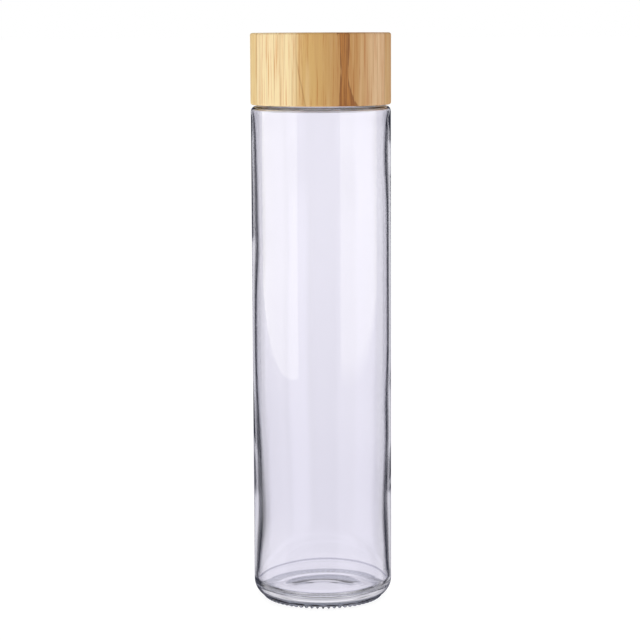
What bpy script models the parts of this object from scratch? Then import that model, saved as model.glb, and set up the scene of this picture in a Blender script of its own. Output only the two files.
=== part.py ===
"""A straight glass water bottle with a screw cap of bamboo, as four separate pieces.

The bottle stands on z = 0 with its axis on Z. Every piece is turned about that axis. The bottle's
neck and the cap's liner carry a right-hand thread of one start, so a turn to the left, seen from
above, lifts the cap by one lead.
"""

import math

import bmesh
import bpy

# Driving dimensions, in metres.
HEIGHT = 0.2655
BODY_RADIUS = 0.0324
WALL = 0.0025
CAP_RADIUS = 0.0325
CAP_HEIGHT = 0.0329
CAP_GAP = 0.0006

HEEL_RADIUS = 0.0085
PUNT_RADIUS = 0.0205
PUNT_HEIGHT = 0.0040
FLOOR_HEIGHT = 0.0066
FLOOR_CROWN = 0.0010
FLOOR_FILLET = 0.0040

SHOULDER_RADIUS = 0.0025
SHOULDER_THICKNESS = 0.0015
INNER_SHOULDER_RADIUS = 0.0010
INNER_SHOULDER_EDGE = 0.0015

NECK_RADIUS = 0.0250
NECK_HEIGHT = 0.0160
NECK_FILLET = 0.0010
BORE_RADIUS = 0.0218
LIP_OUTER_RADIUS = 0.0012
LIP_INNER_RADIUS = 0.0010

# The thread, six turns to the inch.
LEAD = 0.0254 / 6
RIDGE_WIDTH = 0.0030
NECK_RIDGE = 0.0013
LINER_RIDGE = 0.0012
THREAD_TURNS = 1.5
THREAD_RUN_OUT = 0.10
THREAD_TOP_BELOW_LIP = 0.0032
FLANK_OFFSET = 0.0017
THREAD_ROW = 0.0005

# Fits between the pieces.
THREAD_CLEARANCE = 0.0004
FIT = 0.0003
RING_FIT = 0.00025

RING_THICKNESS = 0.0015
RING_INNER_RADIUS = 0.0207
RING_OUTER_RADIUS = 0.0261
RING_EDGE = 0.0003

LINER_WALL = 0.0017
LINER_TOP = 0.0018
LINER_EDGE = 0.0004
LINER_BOTTOM_INSET = 0.0007
BOSS_RADIUS = 0.0203
BOSS_LIP_RADIUS = 0.0210
BOSS_BELOW_RING = 0.0008
BOSS_LIP_HEIGHT = 0.0006

CAP_EDGE = 0.0010
CAP_MOUTH_EDGE = 0.0005

SEGMENTS = 60
WELD = 1e-6
SHARP_ANGLE = math.radians(35)

# Heights that follow from them.
CAP_BOTTOM = HEIGHT - CAP_HEIGHT
SHOULDER_TOP = CAP_BOTTOM - CAP_GAP
LIP_TOP = SHOULDER_TOP + NECK_HEIGHT
THREAD_TOP = LIP_TOP - THREAD_TOP_BELOW_LIP
INNER_RADIUS = BODY_RADIUS - WALL
RING_BOTTOM = LIP_TOP + RING_FIT
RING_TOP = RING_BOTTOM + RING_THICKNESS
LINER_CEILING = RING_TOP + RING_FIT
LINER_INNER_RADIUS = NECK_RADIUS + NECK_RIDGE + THREAD_CLEARANCE
LINER_OUTER_RADIUS = LINER_INNER_RADIUS + LINER_WALL
LINER_BOTTOM = CAP_BOTTOM + LINER_BOTTOM_INSET


def arc(centre_r, centre_z, radius, start, end, steps):
    """Points (r, z) on an arc, with its angles in degrees from the outward direction."""
    points = []
    for i in range(steps + 1):
        angle = math.radians(start + (end - start) * i / steps)
        points.append((centre_r + radius * math.cos(angle), centre_z + radius * math.sin(angle)))
    return points


def crown(radius, base, height, steps):
    """A shallow dome from its rim to the axis."""
    points = []
    for i in range(steps + 1):
        r = radius * (1 - i / steps)
        points.append((r, base + height * (1 - (r / radius) ** 2)))
    return points


def rows(r, bottom, top):
    """Points up a straight wall, close enough together to carry the thread."""
    count = math.ceil((top - bottom) / THREAD_ROW)
    return [(r, bottom + (top - bottom) * i / count) for i in range(count + 1)]


def ridge(angle, z, track_top):
    """Height, from 0 to 1, of a rounded helical ridge whose track falls from track_top.

    The track falls by one lead for each turn clockwise, seen from above, and its two ends run out
    smoothly into the wall.
    """
    height = 0.0
    for lap in range(math.ceil(THREAD_TURNS) + 1):
        turned = lap + (-angle / math.tau) % 1.0
        ends = min(turned, THREAD_TURNS - turned)
        if ends <= 0:
            continue
        offset = z - (track_top - LEAD * turned)
        if abs(offset) < RIDGE_WIDTH / 2:
            fade = min(1.0, ends / THREAD_RUN_OUT)
            height = max(height, fade * 0.5 * (1 + math.cos(math.tau * offset / RIDGE_WIDTH)))
    return height


def cut_thread(bm, wall_radius, ridge_height, track_top):
    """Moves the wall's points outward, or inward for a negative height, along the thread."""
    for vert in bm.verts:
        r = math.hypot(vert.co.x, vert.co.y)
        if abs(r - wall_radius) > WELD:
            continue
        angle = math.atan2(vert.co.y, vert.co.x)
        scale = 1 + ridge_height * ridge(angle, vert.co.z, track_top) / wall_radius
        vert.co.x *= scale
        vert.co.y *= scale


def material(name, colour, roughness, metallic=0.0):
    made = bpy.data.materials.new(name)
    made.use_nodes = True
    shader = made.node_tree.nodes["Principled BSDF"]
    shader.inputs["Base Color"].default_value = (*colour, 1)
    shader.inputs["Roughness"].default_value = roughness
    shader.inputs["Metallic"].default_value = metallic
    return made


def turn(name, outline, finish, closed=False, thread=None):
    """One piece turned about Z from an outline of (r, z) points.

    An open outline starts and ends on the axis; a closed one makes a ring.
    """
    bm = bmesh.new()
    verts = [bm.verts.new((r, 0, z)) for r, z in outline]
    ends = verts[1:] + verts[:1] if closed else verts[1:]
    edges = [bm.edges.new(pair) for pair in zip(verts, ends)]
    bmesh.ops.spin(bm, geom=verts + edges, cent=(0, 0, 0), axis=(0, 0, 1),
                   angle=math.tau, steps=SEGMENTS, use_duplicate=False)
    bmesh.ops.remove_doubles(bm, verts=bm.verts, dist=WELD)
    if thread:
        cut_thread(bm, *thread)
    bmesh.ops.recalc_face_normals(bm, faces=bm.faces)
    mesh = bpy.data.meshes.new(name)
    bm.to_mesh(mesh)
    bm.free()
    mesh.shade_smooth()
    mesh.set_sharp_from_angle(angle=SHARP_ANGLE)
    mesh.materials.append(finish)
    piece = bpy.data.objects.new(name, mesh)
    bpy.context.collection.objects.link(piece)
    return piece


def base_outline():
    """The underside, from the middle of the punt over the bearing ring and round the heel."""
    return [
        *reversed(crown(PUNT_RADIUS, 0, PUNT_HEIGHT, 5)),
        *arc(BODY_RADIUS - HEEL_RADIUS, HEEL_RADIUS, HEEL_RADIUS, -90, 0, 7),
    ]


def neck_outline():
    """The outside, from the top of the body over the shoulder and up to the lip."""
    fillet_r = NECK_RADIUS + NECK_FILLET
    fillet_z = SHOULDER_TOP + NECK_FILLET
    lip_r = NECK_RADIUS - LIP_OUTER_RADIUS
    lip_z = LIP_TOP - LIP_OUTER_RADIUS
    return [
        *arc(BODY_RADIUS - SHOULDER_RADIUS, SHOULDER_TOP - SHOULDER_RADIUS, SHOULDER_RADIUS, 0, 90, 4),
        *arc(fillet_r, fillet_z, NECK_FILLET, 270, 180, 2),
        *rows(NECK_RADIUS, THREAD_TOP - LEAD * THREAD_TURNS - RIDGE_WIDTH / 2, lip_z)[:-1],
        *arc(lip_r, lip_z, LIP_OUTER_RADIUS, 0, 90, 3),
        *arc(BORE_RADIUS + LIP_INNER_RADIUS, LIP_TOP - LIP_INNER_RADIUS, LIP_INNER_RADIUS, 90, 180, 3),
    ]


def cavity_outline():
    """The inside, from the bore down to the middle of the floor."""
    ceiling = SHOULDER_TOP - SHOULDER_THICKNESS
    corner_r = INNER_RADIUS - INNER_SHOULDER_RADIUS
    floor_r = INNER_RADIUS - FLOOR_FILLET
    return [
        *arc(BORE_RADIUS + INNER_SHOULDER_EDGE, ceiling + INNER_SHOULDER_EDGE, INNER_SHOULDER_EDGE,
             180, 270, 3),
        *arc(corner_r, ceiling - INNER_SHOULDER_RADIUS, INNER_SHOULDER_RADIUS, 90, 0, 5),
        *arc(floor_r, FLOOR_HEIGHT + FLOOR_FILLET, FLOOR_FILLET, 0, -90, 5),
        *crown(floor_r, FLOOR_HEIGHT, FLOOR_CROWN, 3)[1:],
    ]


def glass_bottle():
    outline = base_outline() + neck_outline() + cavity_outline()
    finish = material("clear_glass", (0.86, 0.86, 0.93), 0.02)
    return turn("glass_bottle", outline, finish, thread=(NECK_RADIUS, NECK_RIDGE, THREAD_TOP))


def bamboo_cap():
    """A drum with a blind hole for the liner."""
    hole_r = LINER_OUTER_RADIUS + FIT
    hole_top = LINER_CEILING + LINER_TOP + FIT
    mouth_r = hole_r + CAP_MOUTH_EDGE
    outline = [
        (0, hole_top),
        (hole_r, hole_top),
        *arc(mouth_r, CAP_BOTTOM + CAP_MOUTH_EDGE, CAP_MOUTH_EDGE, 180, 270, 2),
        *arc(CAP_RADIUS - CAP_EDGE, CAP_BOTTOM + CAP_EDGE, CAP_EDGE, -90, 0, 3),
        *arc(CAP_RADIUS - CAP_EDGE, HEIGHT - CAP_EDGE, CAP_EDGE, 0, 90, 3),
        (0, HEIGHT),
    ]
    return turn("bamboo_cap", outline, material("bamboo", (0.70, 0.48, 0.25), 0.45))


def boss_outline():
    """The boss under the liner's ceiling, whose lip holds the gasket."""
    bottom = RING_BOTTOM - BOSS_BELOW_RING
    return [
        (0, bottom),
        (BOSS_LIP_RADIUS - LINER_EDGE, bottom),
        (BOSS_LIP_RADIUS, bottom + LINER_EDGE / 2),
        (BOSS_LIP_RADIUS, bottom + LINER_EDGE),
        (BOSS_RADIUS, bottom + BOSS_LIP_HEIGHT),
        (BOSS_RADIUS, LINER_CEILING),
    ]


def cap_liner():
    """A threaded cup, open downward, with the boss in the middle."""
    top = LINER_CEILING + LINER_TOP
    thread_top = THREAD_TOP - FLANK_OFFSET
    outline = [
        *boss_outline(),
        (LINER_INNER_RADIUS, LINER_CEILING),
        *reversed(rows(LINER_INNER_RADIUS, thread_top - LEAD * THREAD_TURNS - RIDGE_WIDTH / 2,
                       thread_top + RIDGE_WIDTH / 2)),
        (LINER_INNER_RADIUS, LINER_BOTTOM + LINER_EDGE),
        (LINER_INNER_RADIUS + LINER_EDGE, LINER_BOTTOM),
        (LINER_OUTER_RADIUS - LINER_EDGE, LINER_BOTTOM),
        (LINER_OUTER_RADIUS, LINER_BOTTOM + LINER_EDGE),
        (LINER_OUTER_RADIUS, top - LINER_EDGE),
        (LINER_OUTER_RADIUS - LINER_EDGE, top),
        (0, top),
    ]
    finish = material("white_polypropylene", (0.86, 0.86, 0.84), 0.4)
    return turn("cap_liner", outline, finish, thread=(LINER_INNER_RADIUS, -LINER_RIDGE, thread_top))


def sealing_ring():
    """A flat gasket with its edges broken."""
    outline = [
        (RING_INNER_RADIUS + RING_EDGE, RING_BOTTOM),
        (RING_OUTER_RADIUS - RING_EDGE, RING_BOTTOM),
        (RING_OUTER_RADIUS, RING_BOTTOM + RING_EDGE),
        (RING_OUTER_RADIUS, RING_TOP - RING_EDGE),
        (RING_OUTER_RADIUS - RING_EDGE, RING_TOP),
        (RING_INNER_RADIUS + RING_EDGE, RING_TOP),
        (RING_INNER_RADIUS, RING_TOP - RING_EDGE),
        (RING_INNER_RADIUS, RING_BOTTOM + RING_EDGE),
    ]
    return turn("sealing_ring", outline, material("clear_silicone", (0.80, 0.80, 0.79), 0.5), closed=True)


def main():
    for old in list(bpy.data.objects):
        bpy.data.objects.remove(old, do_unlink=True)
    glass_bottle()
    bamboo_cap()
    cap_liner()
    sealing_ring()


main()
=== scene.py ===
"""The looks of the glass bottle with a bamboo cap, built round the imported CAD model."""

import math

import bpy
import numpy as np
from mathutils import Matrix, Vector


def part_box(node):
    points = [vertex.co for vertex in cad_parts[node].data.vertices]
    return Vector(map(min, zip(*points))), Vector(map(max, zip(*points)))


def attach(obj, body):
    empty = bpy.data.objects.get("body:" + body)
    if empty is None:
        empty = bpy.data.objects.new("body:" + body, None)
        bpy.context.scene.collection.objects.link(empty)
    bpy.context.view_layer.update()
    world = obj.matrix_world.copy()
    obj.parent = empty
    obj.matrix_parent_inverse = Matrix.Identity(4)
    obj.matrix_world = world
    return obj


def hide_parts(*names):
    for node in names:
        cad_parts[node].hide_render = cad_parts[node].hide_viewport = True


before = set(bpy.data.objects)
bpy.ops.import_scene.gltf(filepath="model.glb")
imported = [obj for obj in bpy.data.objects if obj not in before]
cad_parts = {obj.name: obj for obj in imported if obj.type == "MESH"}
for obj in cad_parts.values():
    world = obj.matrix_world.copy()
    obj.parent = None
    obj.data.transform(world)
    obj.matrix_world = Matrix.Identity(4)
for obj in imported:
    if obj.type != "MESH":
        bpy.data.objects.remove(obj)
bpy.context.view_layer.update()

MM = 0.001
TAU = math.tau

# ---------------------------------------------------------------- sizes read from the frame

_, BOTTLE_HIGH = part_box("glass_bottle")
CAP_LOW, CAP_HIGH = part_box("bamboo_cap")
LINER_LOW, LINER_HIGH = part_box("cap_liner")
RING_LOW, RING_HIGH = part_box("sealing_ring")

BODY_R = BOTTLE_HIGH.x
LIP_Z = BOTTLE_HIGH.z
CAP_R = CAP_HIGH.x
CAP_BOTTOM, CAP_TOP = CAP_LOW.z, CAP_HIGH.z
LINER_R = LINER_HIGH.x
RING_R = RING_HIGH.x

# ---------------------------------------------------------------- meshes turned about Z


def arc(centre_r, centre_z, radius, start, end, steps, tag=""):
    """Rows (r, z, tag) along an arc, its angles in degrees from the outward direction."""
    angles = np.radians(np.linspace(start, end, steps + 1))
    return [(centre_r + radius * math.cos(a), centre_z + radius * math.sin(a), tag) for a in angles]


def line(r0, z0, r1, z1, steps, tag=""):
    """Rows on a straight line, without its two ends."""
    return [(r0 + (r1 - r0) * i / steps, z0 + (z1 - z0) * i / steps, tag) for i in range(1, steps)]


def stitch(lower, upper):
    """Faces between two rings of vertex numbers; one may be a single point or have twice as many."""
    if len(lower) == 1 or len(upper) == 1:
        ring = upper if len(lower) == 1 else lower
        tip = lower[0] if len(lower) == 1 else upper[0]
        turn = 1 if len(lower) == 1 else -1
        return [(tip, *(ring[i], ring[(i + 1) % len(ring)])[::-turn]) for i in range(len(ring))]
    faces = []
    n = min(len(lower), len(upper))
    for i in range(n):
        j = (i + 1) % n
        if len(lower) == len(upper):
            faces.append((lower[i], lower[j], upper[j], upper[i]))
        elif len(lower) > n:
            a, b, c = lower[2 * i], lower[2 * i + 1], lower[(2 * i + 2) % len(lower)]
            faces += [(a, b, upper[i]), (b, upper[j], upper[i]), (b, c, upper[j])]
        else:
            a, b, c = upper[2 * i], upper[2 * i + 1], upper[(2 * i + 2) % len(upper)]
            faces += [(lower[i], b, a), (lower[i], lower[j], b), (lower[j], c, b)]
    return faces


def turned(name, rows, segments, shape=None, closed=False, fine=()):
    """A closed mesh turned about Z from rows (r, z, tag), listed so that the outside is on the right.

    Rows whose tag is in fine have twice the segments. shape(tag, r, z, angles, normal) may move a
    row's points: it gives back their r and z.
    """
    points, rings = [], []
    count, start = len(rows), 0
    for k, (r, z, tag) in enumerate(rows):
        if r < 1e-7:
            points.append(np.array([[0, 0, z]]))
        else:
            n = segments * 2 if tag in fine else segments
            angles = np.arange(n) * TAU / n
            before = rows[(k - 1) % count]
            after = rows[(k + 1) % count]
            along = np.array([after[0] - before[0], after[1] - before[1]])
            normal = np.array([along[1], -along[0]]) / max(np.hypot(*along), 1e-9)
            rr, zz = np.full(n, float(r)), np.full(n, float(z))
            if shape:
                rr, zz = shape(tag, rr, zz, angles, normal)
            points.append(np.stack([rr * np.cos(angles), rr * np.sin(angles), zz], 1))
        rings.append(list(range(start, start + len(points[-1]))))
        start += len(points[-1])
    faces = []
    for lower, upper in zip(rings, rings[1:] + rings[:1] if closed else rings[1:]):
        faces += stitch(lower, upper)
    mesh = bpy.data.meshes.new(name)
    mesh.from_pydata(np.concatenate(points).tolist(), [], faces)
    mesh.update()
    mesh.shade_smooth()
    piece = bpy.data.objects.new(name, mesh)
    bpy.context.scene.collection.objects.link(piece)
    return piece


def smooth_step(x, low, high):
    t = np.clip((x - low) / (high - low), 0, 1)
    return t * t * (3 - 2 * t)


def fit(piece, finish, body, node):
    """Gives a piece its material and puts it in the place of a CAD node."""
    piece.data.materials.append(finish)
    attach(piece, body)
    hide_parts(node)


# ---------------------------------------------------------------- material helpers


def linear(*code):
    """A screen colour, 0 to 255, as the linear colour that a shader takes."""
    parts = [c / 255 for c in code]
    return tuple(c / 12.92 if c <= 0.04045 else ((c + 0.055) / 1.055) ** 2.4 for c in parts)


class Tree:
    """A node tree that is written as nested calls."""

    def __init__(self, tree):
        self.tree = tree
        tree.nodes.clear()

    def add(self, kind, inputs=None, out=0, **settings):
        node = self.tree.nodes.new(kind)
        for key, value in settings.items():
            setattr(node, key, value)
        for key, value in (inputs or {}).items():
            if isinstance(value, bpy.types.NodeSocket):
                self.tree.links.new(value, node.inputs[key])
            else:
                node.inputs[key].default_value = value
        return node.outputs[out] if len(node.outputs) else node

    def split(self, vector):
        node = self.tree.nodes.new("ShaderNodeSeparateXYZ")
        self.tree.links.new(vector, node.inputs[0])
        return node.outputs

    def math(self, operation, a, b=0.0, c=0.0, clamp=False):
        return self.add("ShaderNodeMath", {0: a, 1: b, 2: c}, operation=operation, use_clamp=clamp)

    def times(self, *values):
        product = values[0]
        for value in values[1:]:
            product = self.math("MULTIPLY", product, value)
        return product

    def distance(self, x, y):
        """The length of (x, y)."""
        return self.math("SQRT", self.math("ADD", self.times(x, x), self.times(y, y)))

    def off_whole(self, value):
        """How far value is from the nearest whole number."""
        return self.math("ABSOLUTE", self.math("SUBTRACT", value, self.math("ROUND", value)))

    def ease(self, value, low, high, start=0.0, end=1.0):
        """value from low to high as a smooth step from start to end."""
        return self.add("ShaderNodeMapRange", {0: value, 1: low, 2: high, 3: start, 4: end},
                        interpolation_type="SMOOTHSTEP")

    def near(self, value, centre, half_width, soft):
        """1 where value is within half_width of centre, fading to 0 over soft."""
        away = self.math("ABSOLUTE", self.math("SUBTRACT", value, centre))
        return self.ease(away, half_width, half_width + soft, 1.0, 0.0)

    def mix(self, factor, a, b, blend="MIX"):
        node = self.tree.nodes.new("ShaderNodeMix")
        node.data_type = "RGBA"
        node.blend_type = blend
        for key, value in ((0, factor), (6, a), (7, b)):
            if isinstance(value, bpy.types.NodeSocket):
                self.tree.links.new(value, node.inputs[key])
            else:
                node.inputs[key].default_value = value if key == 0 else (*value[:3], 1)
        return node.outputs[2]

    def ramp(self, value, stops):
        """A colour ramp from (place, screen colour) stops."""
        node = self.tree.nodes.new("ShaderNodeValToRGB")
        self.tree.links.new(value, node.inputs[0])
        elements = node.color_ramp.elements
        elements.remove(elements[0])
        for i, (place, code) in enumerate(stops):
            stop = elements[0] if i == 0 else elements.new(place)
            stop.position = place
            stop.color = (*linear(*code), 1)
        return node.outputs[0]

    def where(self):
        """The object's own coordinates, in metres."""
        return self.add("ShaderNodeTexCoord", out=3)

    def stretched(self, x, y, z):
        """The object's own coordinates, each multiplied by a factor."""
        return self.add("ShaderNodeVectorMath", {0: self.where(), 1: (x, y, z)}, operation="MULTIPLY")

    def noise(self, vector, scale, detail=2.0, roughness=0.5):
        return self.add("ShaderNodeTexNoise", {"Vector": vector, "Scale": scale, "Detail": detail,
                                               "Roughness": roughness})

    def bump(self, height, strength, distance):
        return self.add("ShaderNodeBump", {"Height": height, "Strength": strength, "Distance": distance})


def material(name):
    made = bpy.data.materials.new(name)
    made.use_nodes = True
    return made, Tree(made.node_tree)


def principled(tree, inputs):
    shader = tree.add("ShaderNodeBsdfPrincipled", inputs)
    tree.add("ShaderNodeOutputMaterial", {"Surface": shader})


# ---------------------------------------------------------------- thread, shared by glass and liner

LEAD = 25.4 / 6 * MM
THREAD_TOP = LIP_Z - 3.2 * MM
THREAD_TURNS = 1.5
RIDGE_WIDTH = 3.0 * MM
RIDGE_FADE = 0.1


def thread_height(angles, z, top):
    """0 to 1 over a rounded helical ridge that falls from top, fading in RIDGE_FADE turns at its ends."""
    height = np.zeros(len(angles))
    for lap in range(math.ceil(THREAD_TURNS) + 1):
        turned_by = lap + (-angles / TAU) % 1.0
        ends = np.minimum(turned_by, THREAD_TURNS - turned_by)
        offset = z - (top - LEAD * turned_by)
        on = (ends > 0) & (np.abs(offset) < RIDGE_WIDTH / 2)
        ridge = 0.5 * (1 + np.cos(TAU * offset / RIDGE_WIDTH)) * np.clip(ends / RIDGE_FADE, 0, 1)
        height = np.where(on, np.maximum(height, ridge), height)
    return height


# ---------------------------------------------------------------- glass

# The rows that carry the knurls have twice the segments. A knurl's reach is the distance along the
# heel from its foot to the knurl's middle.
KNURLS = 64
SEGMENTS_PER_KNURL = 6
GLASS_SEGMENTS = KNURLS * SEGMENTS_PER_KNURL
KNURL_HEIGHT = 0.8 * MM
KNURL_REACH = 2.8 * MM
KNURL_LENGTH = 3.4 * MM
LAND = 0.55 * MM
HEEL = 8.5 * MM
HEEL_STEPS = 48
PUNT_R = 20.5 * MM
PUNT = 3.2 * MM
PUNT_STEPS = 24
WALL = 1.8 * MM
FLOOR = 6.6 * MM
FLOOR_CROWN = 1.0 * MM
FLOOR_FILLET = 4.0 * MM
FLOOR_STEPS = 12
FLOOR_WAVE = 0.12 * MM
WAVE_START = (4 * MM, 18 * MM)
WAVE_END = (20 * MM, 26 * MM)
NECK_R = 25.0 * MM
NECK_FILLET = 1.0 * MM
NECK_RIDGE = 1.3 * MM
LIP_OUTER_R = 1.2 * MM
LIP_INNER_R = 1.0 * MM
BORE_R = 21.8 * MM
BORE_CORNER = 1.5 * MM
SHOULDER_Z = LIP_Z - 16 * MM
SHOULDER_R = 2.5 * MM
SHOULDER_THICK = 1.5 * MM
INNER_SHOULDER_R = 1.0 * MM

GLASS_TINT = (0.955, 0.948, 0.990)

# Painted shade: a grey line on the inner wall round the edge of the floor, standing in for the dark that
# refraction shows there. It is lower at the front.
RIM_Z = 9.5 * MM
RIM_TILT = 0.055
RIM_HALF = 0.20 * MM
RIM_SOFT = 0.50 * MM
RIM_OUTER = (BODY_R - 1.0 * MM, BODY_R - 0.6 * MM)
RIM_SHADE_GREY = (0.40, 0.40, 0.48)

# Painted shade: a slate tone on the outside of the heel, standing in for the dark band that refraction
# shows there.
HEEL_SHADE_SLATE = (0.14, 0.16, 0.22)
HEEL_SHADE_WEIGHT = 0.85
HEEL_SHADE_TOP = 5.0 * MM
HEEL_SHADE_SOFT = 1.6 * MM
HEEL_SHADE_INNER = (PUNT_R + 1.0 * MM, PUNT_R + 4.0 * MM)

# Uneven wall left by blowing: azimuth in degrees from +X toward +Y, height, spread round the bottle
# in degrees, spread in height, extra thickness. It starts gradually above the floor.
PATCH_START = (8 * MM, 15 * MM)
PATCHES = (
    (180, 0.230, 70, 0.007, -0.0006),
    (180, 0.180, 70, 0.034, 0.0004),
    (180, 0.163, 70, 0.012, 0.0003),
    (180, 0.058, 75, 0.032, 0.0012),
    (180, 0.034, 75, 0.018, 0.0009),
    (0, 0.230, 70, 0.005, -0.0006),
    (0, 0.209, 70, 0.017, 0.0006),
    (0, 0.092, 70, 0.016, 0.0004),
    (0, 0.042, 70, 0.028, 0.0010),
    (110, 0.190, 60, 0.020, 0.0004),
    (270, 0.120, 60, 0.030, 0.0003),
)


def extra_wall(angles, z):
    extra = np.zeros(len(angles))
    for azimuth, height, spread, tall, amount in PATCHES:
        turn = (np.degrees(angles) - azimuth + 180) % 360 - 180
        extra += amount * np.exp(-(turn / spread) ** 2 - ((z - height) / tall) ** 2)
    return extra


def base_rows():
    """The underside, from the middle of the punt out to the wall."""
    rows = [(0.0, LAND + PUNT, "")]
    for i in range(1, PUNT_STEPS + 1):
        rise = PUNT * (0.5 + 0.5 * math.cos(math.pi * i / PUNT_STEPS))
        rows.append((PUNT_R * i / PUNT_STEPS, LAND + rise, ""))
    rows += line(PUNT_R, LAND, BODY_R - HEEL, LAND, 5)
    heel = arc(BODY_R - HEEL, LAND + HEEL, HEEL, -90, 0, HEEL_STEPS)
    half = HEEL_STEPS // 2
    return rows + [(r, z, "knurl") for r, z, _ in heel[:half]] + heel[half:]


def neck_rows():
    """The outside, from the wall over the shoulder and the lip and down the bore."""
    shoulder_r = BODY_R - SHOULDER_R
    rows = line(BODY_R, LAND + HEEL, BODY_R, SHOULDER_Z - SHOULDER_R, 40)
    rows += arc(shoulder_r, SHOULDER_Z - SHOULDER_R, SHOULDER_R, 0, 90, 14)
    rows += line(shoulder_r, SHOULDER_Z, NECK_R + NECK_FILLET, SHOULDER_Z, 4)
    rows += arc(NECK_R + NECK_FILLET, SHOULDER_Z + NECK_FILLET, NECK_FILLET, 270, 180, 6)
    rows += line(NECK_R, SHOULDER_Z + NECK_FILLET, NECK_R, LIP_Z - LIP_OUTER_R, 60, "neck")
    rows += arc(NECK_R - LIP_OUTER_R, LIP_Z - LIP_OUTER_R, LIP_OUTER_R, 0, 90, 8)
    return rows + arc(BORE_R + LIP_INNER_R, LIP_Z - LIP_INNER_R, LIP_INNER_R, 90, 180, 8)


def cavity_rows():
    """The inside, from the bore to the middle of the floor."""
    ceiling = SHOULDER_Z - SHOULDER_THICK
    inner = BODY_R - WALL
    corner_r, corner_z = inner - INNER_SHOULDER_R, ceiling - INNER_SHOULDER_R
    floor_r = inner - FLOOR_FILLET
    low_wall = 14 * MM
    rows = line(BORE_R, LIP_Z - LIP_INNER_R, BORE_R, ceiling + BORE_CORNER, 6)
    rows += arc(BORE_R + BORE_CORNER, ceiling + BORE_CORNER, BORE_CORNER, 180, 270, 8)
    rows += arc(corner_r, corner_z, INNER_SHOULDER_R, 90, 0, 10, "inside")
    rows += line(inner, corner_z, inner, low_wall, 80, "inside")
    rows += line(inner, low_wall, inner, FLOOR + FLOOR_FILLET, 14, "inside")
    rows += arc(floor_r, FLOOR + FLOOR_FILLET, FLOOR_FILLET, 0, -90, 16, "inside")
    for i in range(1, FLOOR_STEPS):
        part = 1 - i / FLOOR_STEPS
        rows.append((floor_r * part, FLOOR + FLOOR_CROWN * (1 - part ** 2), "floor"))
    return rows + [(0.0, FLOOR + FLOOR_CROWN, "floor")]


def knurl_shape(angles, r):
    """0 to 1 over a row of rounded bumps along the heel."""
    reach = HEEL * np.arcsin(np.clip((r - BODY_R + HEEL) / HEEL, 0, 1))
    along = np.clip(1 - ((reach - KNURL_REACH) / (KNURL_LENGTH / 2)) ** 2, 0, 1)
    return np.sqrt(along * np.clip(np.cos(angles * KNURLS), 0, 1))


def glass_shape(tag, r, z, angles, normal):
    if tag == "knurl":
        lift = KNURL_HEIGHT * knurl_shape(angles, r)
        return r + normal[0] * lift, z + normal[1] * lift
    if tag == "neck":
        return r + NECK_RIDGE * thread_height(angles, z, THREAD_TOP), z
    if tag == "inside":
        return r - extra_wall(angles, z) * smooth_step(z, *PATCH_START), z
    if tag == "floor":
        reach = smooth_step(r, *WAVE_START) * (1 - smooth_step(r, *WAVE_END))
        return r, z + FLOOR_WAVE * np.sin(2 * angles + 0.7) * reach
    return r, z


def glass_material():
    """Clear glass, with two marks of painted shade in its colour: a slate tone on the heel and a thin
    grey line round the edge of the floor, both standing in for the dark that refraction shows there."""
    made, t = material("clear_glass")
    ripple = t.noise(t.stretched(1, 1, 0.25), 60, detail=1)
    x, y, z = t.split(t.where())
    across = t.distance(x, y)
    # Painted shade: the grey line round the edge of the floor, a darker glass colour where refraction
    # shows dark.
    rim_z = t.math("MULTIPLY_ADD", y, RIM_TILT, RIM_Z)
    rim_shade = t.times(t.near(t.math("SUBTRACT", z, rim_z), 0.0, RIM_HALF, RIM_SOFT),
                  t.ease(across, *RIM_OUTER, 1.0, 0.0))
    # Painted shade: the slate tone on the outside of the heel.
    heel_shade = t.times(t.ease(z, HEEL_SHADE_TOP - HEEL_SHADE_SOFT, HEEL_SHADE_TOP, 1.0, 0.0),
                      t.ease(across, *HEEL_SHADE_INNER))
    colour = t.mix(rim_shade, GLASS_TINT, RIM_SHADE_GREY)
    colour = t.mix(t.times(heel_shade, HEEL_SHADE_WEIGHT), colour, HEEL_SHADE_SLATE)
    principled(t, {
        "Base Color": colour,
        "Roughness": 0.0,
        "IOR": 1.5,
        "Transmission Weight": 1.0,
        "Normal": t.bump(ripple, 0.12, 0.0004),
    })
    return made


def make_glass():
    rows = base_rows() + neck_rows() + cavity_rows()
    glass = turned("bottle_glass", rows, GLASS_SEGMENTS, glass_shape, fine=("knurl",))
    fit(glass, glass_material(), "bottle", "glass_bottle")
    glass.visible_shadow = False


# ---------------------------------------------------------------- bamboo cap

# The block is glued from boards whose joints are planes across Y, and each board from strips. The
# front board has three strips, pale to the left, golden in the middle and rosy tan to the right; these
# tones are partly the strips' own and partly painted light, paler where light falls from the left and
# darker just right of the middle.
CAP_SEGMENTS = 192
BOARD = 14.4 * MM
FRONT_JOINT = -14.4 * MM
STRIP = 19.3 * MM
STRAW = (255, 230, 178)
GOLD = (222, 180, 112)
UMBER = (200, 150, 90)
ROSE = (228, 190, 146)
BACK_TONES = ((0.0, (206, 160, 104)), (0.5, (228, 188, 130)), (1.0, (253, 226, 162)))
STRIP_STEP = 0.243
BOARD_STEP = 0.618
FIRST_STRIP = 0.687
BOARD_SHIFT = 0.382
GLUE_TONE = (146, 98, 52)
GLUE_SHADE = 0.45

STREAK_X = 10.6 * MM
STREAK_Z = CAP_BOTTOM + 17 * MM
STREAK_SPAN = 16 * MM
STREAK_HALF = 1.7 * MM
STREAK_WIDER_UP = 0.7 * MM
STREAK_WIDER_DOWN = 2.2 * MM
STREAK_LEAN = 1.5 * MM
STREAK_PALE = (186, 122, 56)
STREAK_DARK = (142, 84, 32)
STREAK_SHADE = 0.94
STREAK_EDGE = (132, 78, 34)
STREAK_EDGE_SHADE = 0.70
FRONT_FADE = (-14 * MM, -10 * MM)

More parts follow.
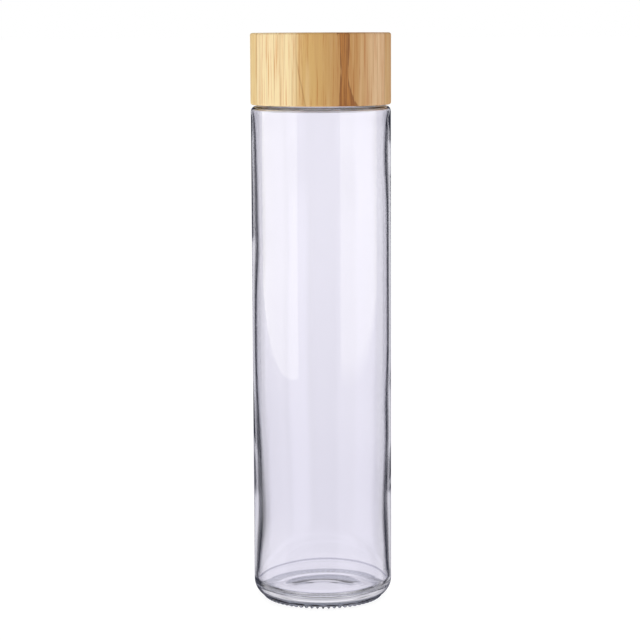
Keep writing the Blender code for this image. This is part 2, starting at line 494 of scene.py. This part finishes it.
LINE_TOP = CAP_TOP - 4 * MM
LINE_FALL = 29 * MM
LINE_X = -11.0 * MM
LINE_DRIFT = 3.9 * MM
LINE_TONE = (164, 104, 48)
LINE_SHADE = 0.42

# Grain over the strips: its pattern, where it starts and ends, its weight at each, its screen colour
# and how that is blended.
GRAIN = (
    ("fibre", 0.48, 0.70, 0.0, 0.75, (218, 158, 96), "MULTIPLY"),
    ("broad", 0.50, 0.76, 0.0, 0.36, (204, 148, 90), "MIX"),
    ("broad", 0.30, 0.46, 0.22, 0.0, (250, 224, 180), "MIX"),
    ("bundles", 0.10, 0.34, 0.42, 0.0, (176, 116, 58), "MIX"),
)


def front_tones_and_painted_light(t, x):
    """The front board: its strips meet at half a strip each side of the middle. Its tones are partly
    painted light, paler at the left and darker just right of the middle.
    """
    joint = STRIP / 2
    colour = t.mix(t.ease(x, -joint - 6 * MM, -joint + 3 * MM), linear(*STRAW), linear(*GOLD))
    colour = t.mix(t.ease(x, -4 * MM, joint), colour, linear(*UMBER))
    return t.mix(t.ease(x, joint + 6 * MM, joint + 16 * MM), colour, linear(*ROSE))


def board_tones(t, x, y):
    """The colour of each glued strip, its board's number, and x shifted by the board's own offset."""
    board = t.math("FLOOR", t.math("DIVIDE", t.math("SUBTRACT", y, FRONT_JOINT), BOARD))
    board = t.math("MAXIMUM", board, -1.0)
    shift = t.times(t.math("FRACT", t.times(board, BOARD_SHIFT)), STRIP)
    shifted = t.math("SUBTRACT", shift, x)
    strip = t.math("FLOOR", t.math("DIVIDE", shifted, STRIP))
    first = t.math("MULTIPLY_ADD", board, BOARD_STEP, FIRST_STRIP)
    count = t.math("ADD", t.times(strip, STRIP_STEP), first)
    back = t.ramp(t.math("FRACT", count), BACK_TONES)
    return t.mix(t.ease(board, -0.6, -0.4), front_tones_and_painted_light(t, x), back), board, shifted


def glue_lines(t, y, shifted, board):
    """Thin joints between the boards, and between the strips of the boards behind the front one."""
    phase = t.math("DIVIDE", t.math("SUBTRACT", y, FRONT_JOINT), BOARD)
    across = t.times(t.ease(t.off_whole(phase), 0.008, 0.018, 1.0, 0.0), t.ease(phase, -0.5, -0.4))
    side_gap = t.off_whole(t.math("DIVIDE", shifted, STRIP))
    along = t.times(t.ease(side_gap, 0.006, 0.014, 1.0, 0.0), t.ease(board, -0.6, -0.4))
    return t.math("MAXIMUM", across, along)


def streak(t, x, z, wander):
    """Two masks: the inside of the brown streak, and a thin band along its edges.

    It is narrowest at STREAK_Z. Below that it widens more than above, and leans to the right.
    """
    height = t.math("DIVIDE", t.math("SUBTRACT", z, STREAK_Z), STREAK_SPAN)
    up = t.math("POWER", t.math("MAXIMUM", height, 0.0), 2.0)
    down = t.math("POWER", t.math("MAXIMUM", t.math("MULTIPLY", height, -1.0), 0.0), 2.0)
    centre = t.math("MULTIPLY_ADD", down, STREAK_LEAN, STREAK_X)
    half = t.math("MULTIPLY_ADD", down, STREAK_WIDER_DOWN, STREAK_HALF)
    half = t.math("MULTIPLY_ADD", up, STREAK_WIDER_UP, half)
    away = t.math("ABSOLUTE", t.math("SUBTRACT", t.math("ADD", x, wander), centre))
    inside = t.math("SUBTRACT", half, away)
    return t.ease(inside, -0.6 * MM, 0.7 * MM), t.near(inside, 0.1 * MM, 0.15 * MM, 0.35 * MM)


def slanted_line(t, x, z):
    """A fine dark line left of the middle that curves to the right toward its foot."""
    fall = t.math("DIVIDE", t.math("SUBTRACT", LINE_TOP, z), LINE_FALL, clamp=True)
    path = t.math("MULTIPLY_ADD", t.math("POWER", fall, 1.7), LINE_DRIFT, LINE_X)
    away = t.math("ABSOLUTE", t.math("SUBTRACT", x, path))
    fade = t.ease(fall, 0.15, 0.5)
    return t.times(t.ease(away, 0.08 * MM, 0.60 * MM, 1.0, 0.0), fade)


def bamboo_material():
    made, t = material("bamboo")
    x, y, z = t.split(t.where())
    drift = t.noise(t.stretched(1, 1, 0.35), 110, detail=2)
    wander = t.times(t.math("SUBTRACT", drift, 0.5), 2.2 * MM)
    frayed = t.noise(t.stretched(1, 1, 0.05), 1100, detail=3)
    feather = t.times(t.math("SUBTRACT", frayed, 0.5), 3.0 * MM)
    across = t.math("ADD", x, wander)
    colour, board, shifted = board_tones(t, across, y)

    fibre = t.noise(t.stretched(1, 1, 0.022), 1500, detail=4, roughness=0.65)
    broad = t.noise(t.stretched(1, 1, 0.04), 420, detail=2)
    bundles = t.add("ShaderNodeTexVoronoi", {"Vector": t.stretched(1, 1, 0.012), "Scale": 850})
    patterns = {"fibre": fibre, "broad": broad, "bundles": bundles}
    for pattern, low, high, start, end, tone, blend in GRAIN:
        weight = t.ease(patterns[pattern], low, high, start, end)
        colour = t.mix(weight, colour, linear(*tone), blend)

    front = t.ease(y, *FRONT_FADE, 1.0, 0.0)
    mask, edges = streak(t, x, z, t.math("ADD", feather, wander))
    brown = t.mix(t.ease(fibre, 0.38, 0.60), linear(*STREAK_PALE), linear(*STREAK_DARK))
    colour = t.mix(t.times(mask, front, STREAK_SHADE), colour, brown)
    colour = t.mix(t.times(edges, front, STREAK_EDGE_SHADE), colour, linear(*STREAK_EDGE))
    fine_line = slanted_line(t, t.math("ADD", x, t.times(wander, 0.9)), z)
    colour = t.mix(t.times(fine_line, front, LINE_SHADE), colour, linear(*LINE_TONE))
    joints = glue_lines(t, y, shifted, board)
    colour = t.mix(t.times(joints, GLUE_SHADE), colour, linear(*GLUE_TONE))

    grain = t.math("ADD", t.times(fibre, 0.7), t.times(broad, 0.3))
    principled(t, {
        "Base Color": colour,
        "Roughness": t.ease(fibre, 0.3, 0.8, 0.48, 0.62),
        "Specular IOR Level": 0.35,
        "Normal": t.bump(grain, 0.22, 0.0002),
    })
    return made


def make_cap():
    gap = 0.3 * MM
    hole_r = LINER_R + gap
    hole_top = LINER_HIGH.z + gap
    edge = 1.0 * MM
    mouth = 0.5 * MM
    rows = [(0.0, hole_top, "")]
    rows += line(0, hole_top, hole_r, hole_top, 6) + [(hole_r, hole_top, "")]
    rows += line(hole_r, hole_top, hole_r, CAP_BOTTOM + mouth, 8)
    rows += arc(hole_r + mouth, CAP_BOTTOM + mouth, mouth, 180, 270, 5)
    rows += arc(CAP_R - edge, CAP_BOTTOM + edge, edge, -90, 0, 8)
    rows += line(CAP_R, CAP_BOTTOM + edge, CAP_R, CAP_TOP - edge, 20)
    rows += arc(CAP_R - edge, CAP_TOP - edge, edge, 0, 90, 8)
    rows += line(CAP_R - edge, CAP_TOP, 0, CAP_TOP, 8) + [(0.0, CAP_TOP, "")]
    fit(turned("cap_bamboo", rows, CAP_SEGMENTS), bamboo_material(), "cap", "bamboo_cap")


# ---------------------------------------------------------------- liner and gasket

LINER_SEGMENTS = 192
LINER_WALL = 1.7 * MM
LINER_TOP = 1.8 * MM
LINER_RIDGE = 1.2 * MM
LINER_EDGE = 0.4 * MM
BOSS_R = 20.3 * MM
BOSS_LIP_R = 21.0 * MM
BOSS_BELOW_RING = 0.8 * MM
FLANK_OFFSET = 1.7 * MM
GRIPS = 48
GRIP = 0.12 * MM


def plastic_material():
    made, t = material("white_polypropylene")
    grain = t.noise(t.stretched(1, 1, 1), 2500, detail=2)
    flow = t.noise(t.stretched(1, 1, 0.3), 120, detail=2)
    principled(t, {
        "Base Color": t.mix(flow, linear(238, 237, 232), linear(228, 227, 222)),
        "Roughness": t.ease(grain, 0.3, 0.7, 0.36, 0.48),
        "Subsurface Weight": 0.15,
        "Subsurface Scale": 0.002,
        "Normal": t.bump(grain, 0.08, 0.0001),
    })
    return made


def silicone_material():
    made, t = material("silicone")
    bloom = t.noise(t.stretched(1, 1, 1), 300, detail=3)
    principled(t, {
        "Base Color": t.mix(bloom, linear(226, 228, 226), linear(214, 217, 216)),
        "Roughness": t.ease(bloom, 0.3, 0.7, 0.42, 0.6),
        "Subsurface Weight": 0.3,
        "Subsurface Scale": 0.003,
        "Normal": t.bump(bloom, 0.1, 0.0001),
    })
    return made


def liner_shape(tag, r, z, angles, normal):
    if tag == "thread":
        return r - LINER_RIDGE * thread_height(angles, z, THREAD_TOP - FLANK_OFFSET), z
    if tag == "grip":
        return r - GRIP * (0.5 - 0.5 * np.cos(angles * GRIPS)), z
    return r, z


def make_liner():
    e = LINER_EDGE
    low, top = LINER_LOW.z, LINER_HIGH.z
    ceiling = top - LINER_TOP
    inner = LINER_R - LINER_WALL
    boss = RING_LOW.z - BOSS_BELOW_RING
    rows = [(0.0, boss, "")] + line(0, boss, BOSS_LIP_R - e, boss, 8)
    rows += arc(BOSS_LIP_R - e / 2, boss + e / 2, e / 2, -90, 0, 4)
    rows += arc(BOSS_R + e / 2, boss + e + 0.1 * MM, e / 2, 90, 180, 3)
    rows += line(BOSS_R, boss + e, BOSS_R, ceiling, 4) + [(BOSS_R, ceiling, "")]
    rows += line(BOSS_R, ceiling, inner, ceiling, 3) + [(inner, ceiling, "")]
    rows += line(inner, ceiling, inner, low + e, 72, "thread")
    rows += arc(inner + e, low + e, e, 180, 270, 4)
    rows += arc(LINER_R - e, low + e, e, -90, 0, 4)
    rows += line(LINER_R, low + e, LINER_R, top - e, 16, "grip")
    rows += arc(LINER_R - e, top - e, e, 0, 90, 4)
    rows += line(LINER_R - e, top, 0, top, 6) + [(0.0, top, "")]
    liner = turned("liner_plastic", rows, LINER_SEGMENTS, liner_shape)
    fit(liner, plastic_material(), "cap", "cap_liner")


def make_ring():
    """The gasket, with its edges rounded."""
    edge = 0.3 * MM
    low, high = RING_LOW.z, RING_HIGH.z
    inner = BOSS_R + 0.4 * MM
    rows = arc(RING_R - edge, low + edge, edge, -90, 0, 5)
    rows += arc(RING_R - edge, high - edge, edge, 0, 90, 5)
    rows += arc(inner + edge, high - edge, edge, 90, 180, 5)
    rows += arc(inner + edge, low + edge, edge, 180, 270, 5)
    ring = turned("ring_silicone", rows, LINER_SEGMENTS, closed=True)
    fit(ring, silicone_material(), "seal", "sealing_ring")


# ---------------------------------------------------------------- stage, lights and camera

STAGE_HALF = 40.0
STAGE_GREY = (0.4, 0.4, 0.4, 1)
STAGE_GLOW = 0.8

# What light meets after passing through the glass: bright fields, as azimuth in degrees from +X
# toward +Y, half-width that is fully bright, half-width where it ends, lowest slope, highest slope,
# brightness. Light that goes up more steeply than SKY_SLOPES meets SKY_LEVEL all round. Light that
# goes down more steeply than GROUND_SLOPES meets full brightness, but for two dark flags beside
# FLAG_AZIMUTH and for light nearly straight down, which loses STEEP_DARK of it.
FIELDS = (
    (90, 15, 29, -0.34, 0.08, 1.0),
    (90, 54, 68, 0.10, 0.50, 0.66),
    (180, 15, 29, -0.34, 0.30, 1.0),
    (90, 10, 18, -0.80, -0.34, 1.0),
    (135, 12, 20, -0.80, -0.38, 1.0),
    (315, 12, 24, -0.50, -0.08, 1.0),
)
FIELD_OUT, FIELD_IN = 0.06, 0.02
GROUND_SLOPES = (-0.60, -0.38)
STEEP_SLOPES = (-1.9, -1.2)
STEEP_DARK = 0.80
FLAG_AZIMUTH = 135
FLAG_NEAR, FLAG_FAR = 27, 45
FLAG_SOFT_NEAR, FLAG_SOFT_FAR = 6, 5
FLAG_SLOPES = (-0.74, -0.66)
SKY_SLOPES = (0.32, 0.46)
SKY_LEVEL = 0.74
GLOW_SLOPES = (-0.27, -0.05)
FIELD_HIGH = (1.03, 1.02, 1.055)
FIELD_LOW = (0.90, 0.89, 0.945)
FIELD_DARK = (0.010, 0.011, 0.020)

# What mirror-like surfaces meet, by the angle from straight behind the bottle: dark, then a bright
# strip at each side, then grey round the front.
BEHIND = 90
GLOSSY_DARK = (0.09, 0.095, 0.135)
GLOSSY_SIDE = (0.95, 0.95, 0.95)
GLOSSY_FRONT = (0.34, 0.345, 0.37)
DARK_ENDS = (62, 53)
SIDE_ENDS = (82, 70)
DIFFUSE_WORLD = (0.55, 0.55, 0.55)


def make_floor():
    size = STAGE_HALF
    mesh = bpy.data.meshes.new("floor")
    corners = [(-size, -size, 0), (size, -size, 0), (size, size, 0), (-size, size, 0)]
    mesh.from_pydata(corners, [], [(0, 1, 2, 3)])
    floor = bpy.data.objects.new("floor", mesh)
    bpy.context.scene.collection.objects.link(floor)
    made, t = material("floor")
    pale = t.add("ShaderNodeBsdfDiffuse", {"Color": STAGE_GREY})
    glow = t.add("ShaderNodeEmission", {"Color": (1, 1, 1, 1), "Strength": STAGE_GLOW})
    t.add("ShaderNodeOutputMaterial", {"Surface": t.add("ShaderNodeAddShader", {0: pale, 1: glow})})
    mesh.materials.append(made)
    floor.visible_transmission = False
    floor.visible_glossy = False


def degrees_cosine(angle):
    return math.cos(math.radians(angle))


def ease_angle(t, turn, outer, inner, start=0.0, end=1.0):
    """turn, a cosine, as a smooth step between two angles in degrees, start at outer and end at inner."""
    return t.ease(turn, degrees_cosine(outer), degrees_cosine(inner), start, end)


def facing(t, x, y, flat, azimuth):
    """The cosine, on plan, between a direction and an azimuth."""
    a = math.radians(azimuth)
    ahead = t.math("ADD", t.times(x, math.cos(a)), t.times(y, math.sin(a)))
    return t.math("DIVIDE", ahead, t.math("MAXIMUM", flat, 1e-4))


def bright_fields(t, x, y, flat, slope):
    """How bright the world is for light that has come through the glass, 0 in the gaps."""
    turn = facing(t, x, y, flat, FLAG_AZIMUTH)
    flag = t.times(ease_angle(t, turn, FLAG_FAR + FLAG_SOFT_FAR, FLAG_FAR),
                   ease_angle(t, turn, FLAG_NEAR, FLAG_NEAR - FLAG_SOFT_NEAR, 1.0, 0.0),
                   t.ease(slope, *FLAG_SLOPES))
    ground = t.times(t.ease(slope, *GROUND_SLOPES, 1.0, 0.0), t.math("SUBTRACT", 1.0, flag),
                     t.ease(slope, *STEEP_SLOPES, 1 - STEEP_DARK, 1.0))
    bright = t.math("MAXIMUM", ground, t.ease(slope, *SKY_SLOPES, 0.0, SKY_LEVEL))
    for azimuth, full, end, low, high, level in FIELDS:
        turn = facing(t, x, y, flat, azimuth)
        field = t.times(level, ease_angle(t, turn, end, full),
                        t.ease(slope, low - FIELD_OUT, low + FIELD_IN),
                        t.ease(slope, high - FIELD_IN, high + FIELD_OUT, 1.0, 0.0))
        bright = t.math("MAXIMUM", bright, field)
    return bright


def glossy_world(t, x, y, flat):
    """The colour that mirror-like surfaces meet."""
    turn = facing(t, x, y, flat, BEHIND)
    side = t.mix(ease_angle(t, turn, *SIDE_ENDS), GLOSSY_FRONT, GLOSSY_SIDE)
    return t.mix(ease_angle(t, turn, *DARK_ENDS), side, GLOSSY_DARK)


def make_world():
    """The world: white for the camera, pale grey for diffuse light, flags and strips for mirror-like
    surfaces, and for light that has come through the glass bright fields with dark gaps between
    them, as bright-field lighting with black flags gives."""
    world = bpy.data.worlds.new("studio")
    bpy.context.scene.world = world
    world.use_nodes = True
    t = Tree(world.node_tree)
    x, y, z = t.split(t.add("ShaderNodeTexCoord", out=0))
    flat = t.distance(x, y)
    slope = t.math("DIVIDE", z, t.math("MAXIMUM", flat, 1e-4))
    glow = t.mix(t.ease(slope, *GLOW_SLOPES), FIELD_LOW, FIELD_HIGH)
    through = t.mix(bright_fields(t, x, y, flat, slope), FIELD_DARK, glow)
    paths = t.tree.nodes.new("ShaderNodeLightPath")
    colour = t.mix(paths.outputs["Is Glossy Ray"], DIFFUSE_WORLD, glossy_world(t, x, y, flat))
    colour = t.mix(paths.outputs["Is Camera Ray"], colour, (1.0, 1.0, 1.0))
    colour = t.mix(paths.outputs["Is Transmission Ray"], colour, through)
    backdrop = t.add("ShaderNodeBackground", {"Color": colour, "Strength": 1.0})
    t.add("ShaderNodeOutputWorld", {"Surface": backdrop})


# Softboxes: side, near end and far end as azimuth from the front in degrees and distance, height of
# the foot, brightness to mirror-like surfaces, brightness to diffuse ones.
SOFTBOXES = (
    ("left", (-38, 0.40), (-112, 0.86), 0.036, 1.8, 1.88),
    ("right", (30, 0.40), (102, 0.79), 0.046, 1.5, 0.65),
)

# For mirror-like surfaces the foot of each softbox fades in steps.
GRADES = 3
GRADE_HEIGHT = 5 * MM
BOX_TOP = 1.1
GLOSS_COLOUR = (1.0, 1.0, 0.80)
FILL_COLOUR = (1.0, 1.0, 1.0)

CAMERA_LENS = 126.7
CAMERA_SENSOR = 36
CAMERA_PLACE = (-0.00083, -1.0463, 0.2697)
CAMERA_PITCH = math.radians(7.5)
CAMERA_ROLL = -0.0046

REFRACTIONS = 24
REFLECTIONS = 12


def polar(azimuth, distance):
    """A point on plan, its azimuth in degrees round from the front, positive to the right."""
    a = math.radians(azimuth)
    return distance * math.sin(a), -distance * math.cos(a)


def softbox(name, near, far, low, high, radiance, colour, on_glossy):
    """A tall soft light standing between two points on plan, facing the bottle.

    It lights either mirror-like or diffuse surfaces, never both.
    """
    light = bpy.data.lights.new(name, "AREA")
    light.shape = "RECTANGLE"
    width = math.dist(near, far)
    light.size, light.size_y = width, high - low
    light.color = colour
    middle = np.array([(near[0] + far[0]) / 2, (near[1] + far[1]) / 2, (low + high) / 2])
    along = np.array([far[0] - near[0], far[1] - near[1], 0]) / width
    up = np.array([0, 0, 1])
    back = np.cross(along, up)
    if np.dot(back, middle) < 0:
        along, back = -along, -back
    light.energy = radiance * math.pi * width * (high - low)
    obj = bpy.data.objects.new(name, light)
    bpy.context.scene.collection.objects.link(obj)
    obj.matrix_world = Matrix(((along[0], up[0], back[0], middle[0]),
                               (along[1], up[1], back[1], middle[1]),
                               (along[2], up[2], back[2], middle[2]),
                               (0, 0, 0, 1)))
    obj.visible_camera = False
    obj.visible_transmission = False
    obj.visible_glossy = on_glossy
    obj.visible_diffuse = not on_glossy


def make_lights():
    for side, near, far, low, gloss, fill in SOFTBOXES:
        plan = (polar(*near), polar(*far))
        for i in range(GRADES):
            bottom = low + GRADE_HEIGHT * i
            top = bottom + GRADE_HEIGHT
            radiance = gloss * (i + 1) / (GRADES + 1)
            softbox(f"{side}_gloss_{i}", *plan, bottom, top, radiance, GLOSS_COLOUR, True)
        faded = low + GRADE_HEIGHT * GRADES
        softbox(f"{side}_gloss", *plan, faded, BOX_TOP, gloss, GLOSS_COLOUR, True)
        softbox(f"{side}_fill", *plan, low, BOX_TOP, fill, FILL_COLOUR, False)


def make_camera():
    data = bpy.data.cameras.new("camera")
    data.lens = CAMERA_LENS
    data.sensor_width = CAMERA_SENSOR
    camera = bpy.data.objects.new("camera", data)
    bpy.context.scene.collection.objects.link(camera)
    tilt = Matrix.Rotation(math.pi / 2 - CAMERA_PITCH, 4, "X")
    roll = Matrix.Rotation(CAMERA_ROLL, 4, "Z")
    camera.matrix_world = Matrix.Translation(CAMERA_PLACE) @ tilt @ roll
    bpy.context.scene.camera = camera


make_glass()
make_cap()
make_liner()
make_ring()
make_floor()
make_world()
make_lights()
make_camera()
scene = bpy.context.scene
scene.view_settings.view_transform = "Standard"
scene.cycles.max_bounces = REFRACTIONS
scene.cycles.transmission_bounces = REFRACTIONS
scene.cycles.glossy_bounces = REFLECTIONS
